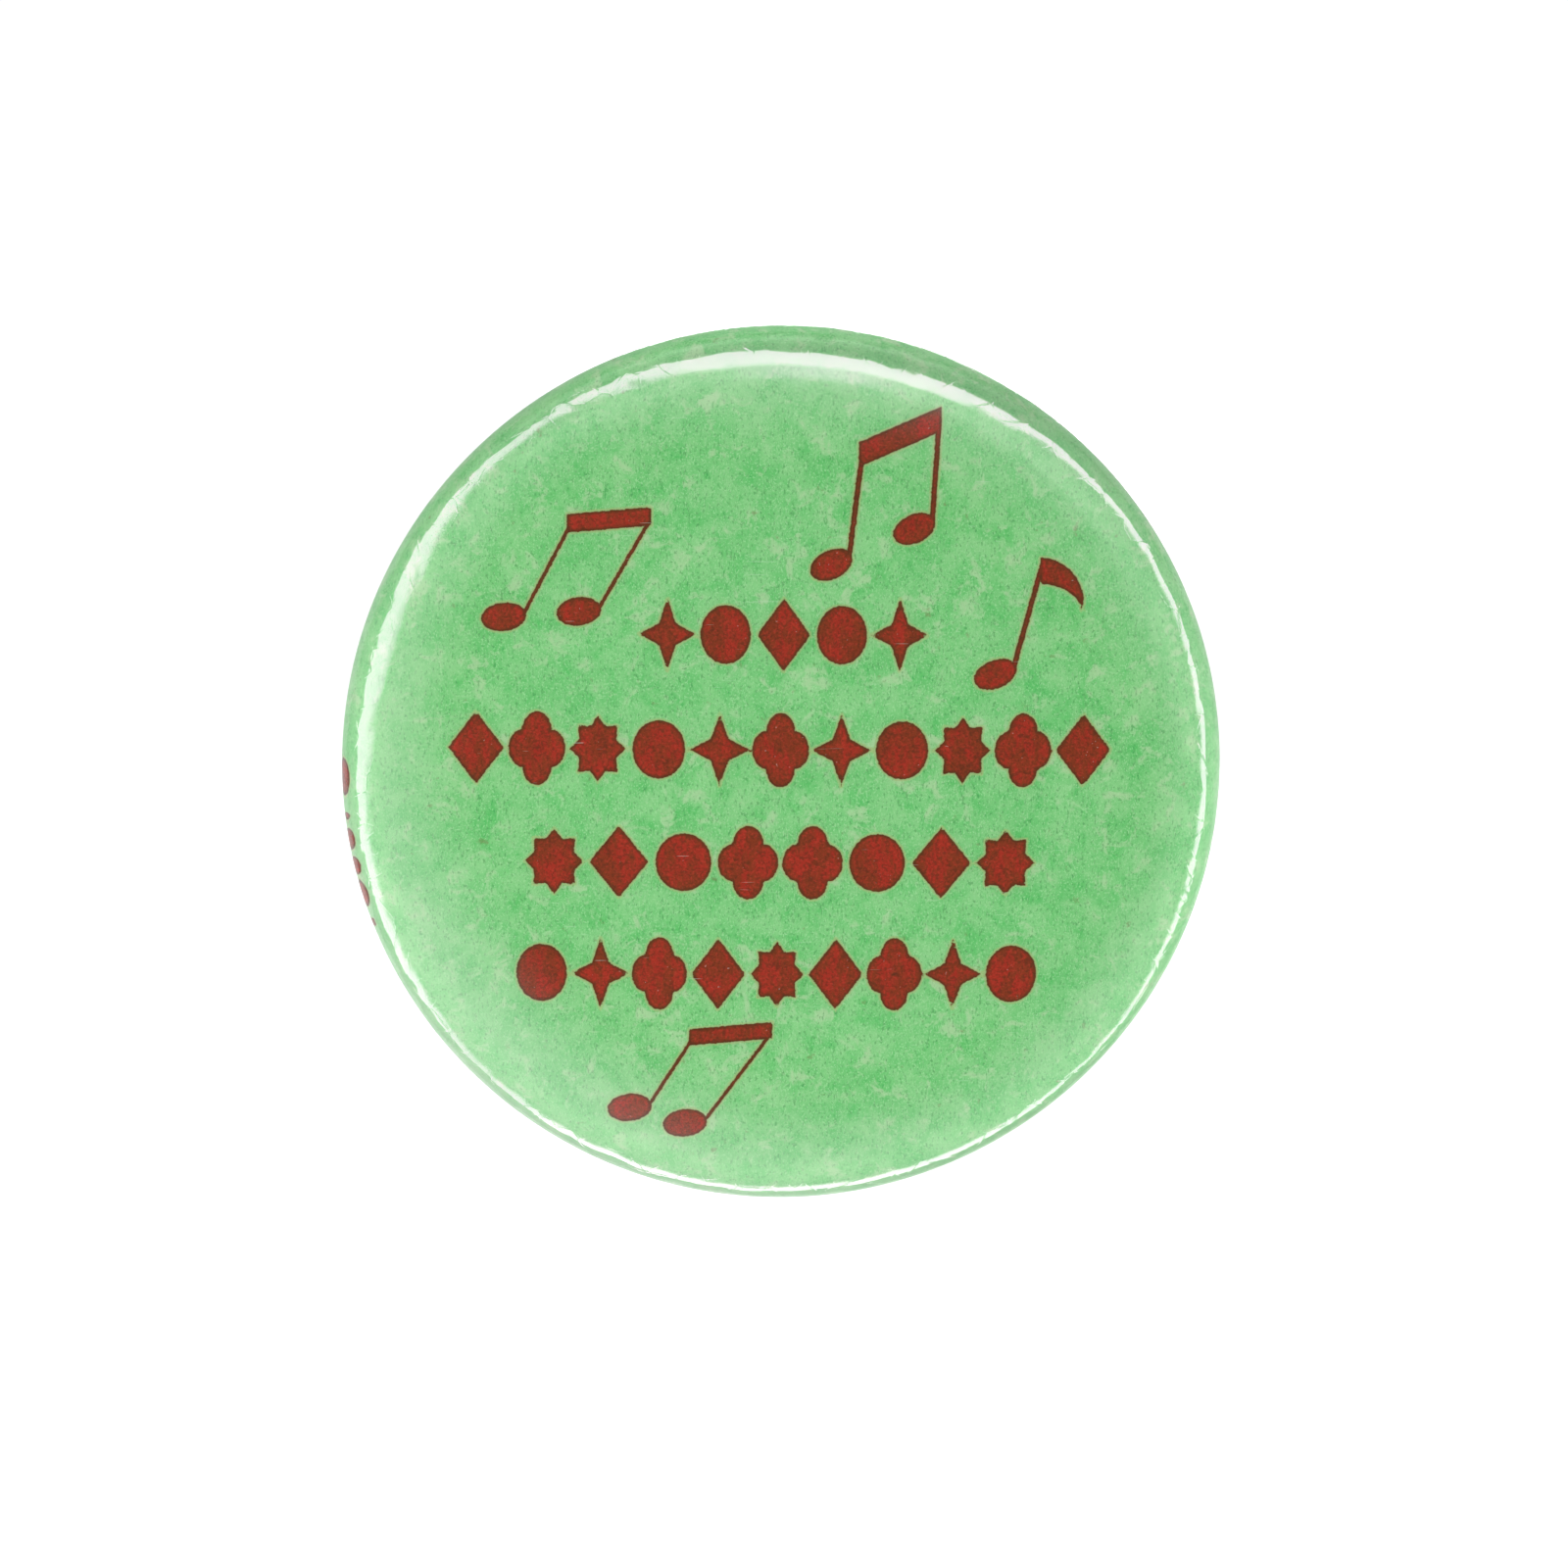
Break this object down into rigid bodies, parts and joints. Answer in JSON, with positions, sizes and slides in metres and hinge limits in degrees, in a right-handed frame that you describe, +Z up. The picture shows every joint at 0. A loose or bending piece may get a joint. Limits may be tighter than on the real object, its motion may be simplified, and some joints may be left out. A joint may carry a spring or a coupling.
{
  "type": "button badge",
  "caption": "Round domed pin-back badge: printed paper under clear film on a tinplate shell, closed back with a hinged safety pin.",
  "frame": {"origin": "centre of the flat back rim that rests on the cloth", "axes": "+Z up the print as worn, -Y out of the face, +Y out of the back rim towards the cloth, +X along the closed needle towards its tip"},
  "size_m": [0.0572, 0.006, 0.0572],
  "materials": {
    "film": "clear glossy",
    "paper": "matt parchment print",
    "tinplate": "satin tinplate",
    "plated_wire": "bright nickel plate",
    "plated_sheet": "nickel plate"
  },
  "bodies": {
    "badge": {"clear_film": "film", "printed_paper": "paper", "front_shell": "tinplate", "back_plate": "tinplate"},
    "pin": {"pin_wire": "plated_wire", "pin_cap": "plated_sheet"},
    "needle": {"pin_needle": "plated_wire"}
  },
  "joints": [
    {"name": "pin_tilt", "type": "hinge", "parent": "badge", "child": "pin", "pos_m": [0, -0.0018, 0.006], "axis": [1, 0, 0], "range_deg": [0, 100]},
    {"name": "needle_open", "type": "hinge", "parent": "pin", "child": "needle", "pos_m": [-0.017, -0.00087, 0.004], "axis": [0, 1, 0], "range_deg": [0, 35]}
  ]
}
